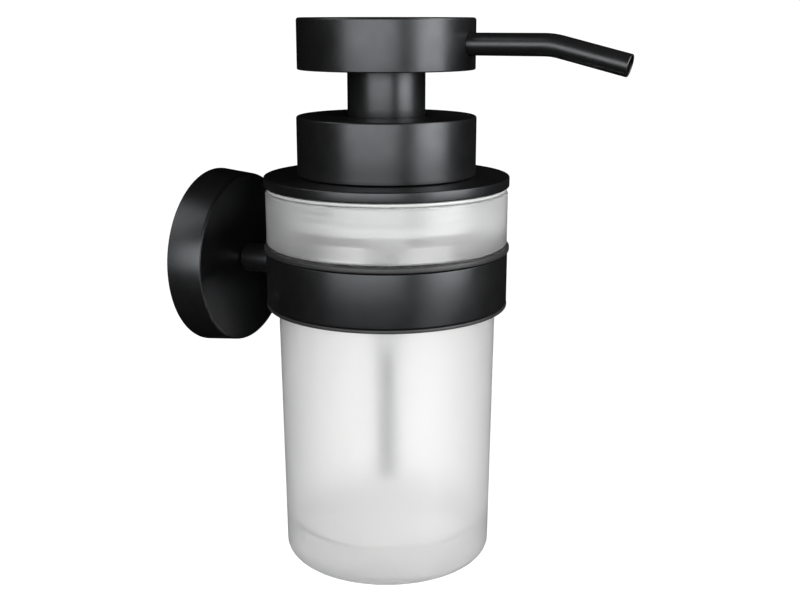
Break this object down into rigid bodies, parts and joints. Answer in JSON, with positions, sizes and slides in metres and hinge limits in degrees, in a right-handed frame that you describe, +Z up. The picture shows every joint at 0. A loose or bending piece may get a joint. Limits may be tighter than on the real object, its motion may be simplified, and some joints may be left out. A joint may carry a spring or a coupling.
{
  "type": "wall mounted soap dispenser",
  "caption": "Wall mounted soap dispenser: a frosted glass tumbler hangs in a black wall ring, under a press pump with a round head and a bent tube spout.",
  "frame": {"origin": "centre of the rosette's back face, on the wall", "axes": "+Z up, +Y into the wall, the spout points to -Y"},
  "size_m": [0.0726, 0.1309, 0.1617],
  "materials": {
    "black_metal": "satin black coating",
    "frosted_glass": "frosted",
    "black_plastic": "matt",
    "white_plastic": "translucent white",
    "steel": "plain",
    "gasket_rubber": "matt"
  },
  "bodies": {
    "wall_holder": {"rosette_cover": "black_metal", "wall_bracket": "steel", "rosette_grub_screw": "steel", "arm_rod": "black_metal", "arm_rear_screw": "steel", "arm_front_screw": "steel", "ring_band": "black_metal", "ring_upper_bush": "black_plastic", "ring_lower_bush": "black_plastic"},
    "tumbler": {"glass_tumbler": "frosted_glass"},
    "pump_lid": {"lid_plug": "white_plastic", "lid_flange": "black_metal", "lid_nut": "white_plastic", "collar_insert": "black_plastic", "collar_shell": "black_metal", "housing_gasket": "gasket_rubber", "pump_housing": "white_plastic", "housing_cap": "white_plastic", "dip_tube": "white_plastic", "return_spring": "steel"},
    "plunger": {"piston_seal": "white_plastic", "piston_stem": "white_plastic"},
    "press_head": {"stem_sleeve": "black_metal", "head_base": "black_plastic", "head_shell": "black_metal", "actuator_core": "black_plastic", "spout_tube": "black_metal"},
    "inlet_valve": {"inlet_ball": "steel"},
    "outlet_valve": {"outlet_ball": "steel"}
  },
  "joints": [
    {"name": "tumbler_lift", "type": "slide", "parent": "wall_holder", "child": "tumbler", "axis": [0, 0, 1], "range_m": [0, 0.1]},
    {"name": "lid_lift", "type": "slide", "parent": "tumbler", "child": "pump_lid", "axis": [0, 0, 1], "range_m": [0, 0.095]},
    {"name": "pump_press", "type": "slide", "parent": "pump_lid", "child": "plunger", "axis": [0, 0, -1], "range_m": [0, 0.0118], "stiffness_N_per_m": 900, "springref_m": -0.008, "deforming": ["return_spring"]},
    {"name": "head_swivel", "type": "hinge", "parent": "plunger", "child": "press_head", "pos_m": [0, -0.06, 0.0663], "axis": [0, 0, 1], "range_deg": [-140, 140]},
    {"name": "inlet_valve_lift", "type": "slide", "parent": "pump_lid", "child": "inlet_valve", "axis": [0, 0, 1], "range_m": [0, 0.0015]},
    {"name": "outlet_valve_lift", "type": "slide", "parent": "plunger", "child": "outlet_valve", "axis": [0, 0, 1], "range_m": [0, 0.001]}
  ]
}
